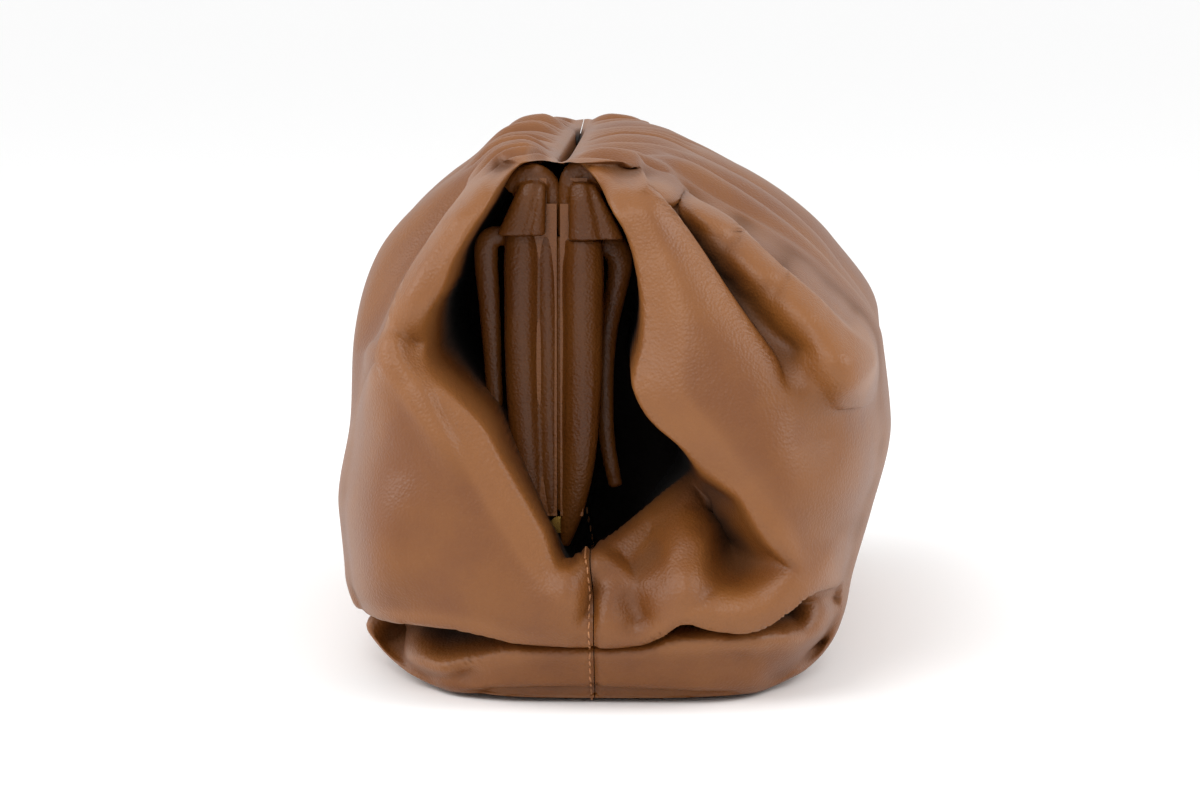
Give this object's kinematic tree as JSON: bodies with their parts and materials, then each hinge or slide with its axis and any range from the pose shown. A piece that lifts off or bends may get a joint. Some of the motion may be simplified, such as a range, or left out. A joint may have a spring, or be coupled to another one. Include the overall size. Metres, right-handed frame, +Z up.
{
  "type": "cloud pouch bag",
  "caption": "Soft gathered leather clutch on a long hinged frame, its slouching walls folding into a V pocket at each end.",
  "frame": {"origin": "centre of the underside of the whole bag, on the surface it stands on", "axes": "+X along the frame towards the pictured end, +Y from the front half to the back half, +Z up"},
  "size_m": [0.3762, 0.2072, 0.1873],
  "materials": {
    "leather": "satin, fine natural grain",
    "frame_leather": "satin",
    "wrap_leather": "satin",
    "brass": "polished"
  },
  "bodies": {
    "root": {"body_front": "leather", "body_back": "leather", "frame_front": "frame_leather", "frame_back": "frame_leather", "leg_wrap_front_near": "wrap_leather", "leg_wrap_front_far": "wrap_leather", "leg_wrap_back_near": "wrap_leather", "leg_wrap_back_far": "wrap_leather", "corner_wrap_front_near": "wrap_leather", "corner_wrap_front_far": "wrap_leather", "corner_wrap_back_near": "wrap_leather", "corner_wrap_back_far": "wrap_leather", "hinge_near": "brass", "hinge_far": "brass"}
  },
  "joints": []
}
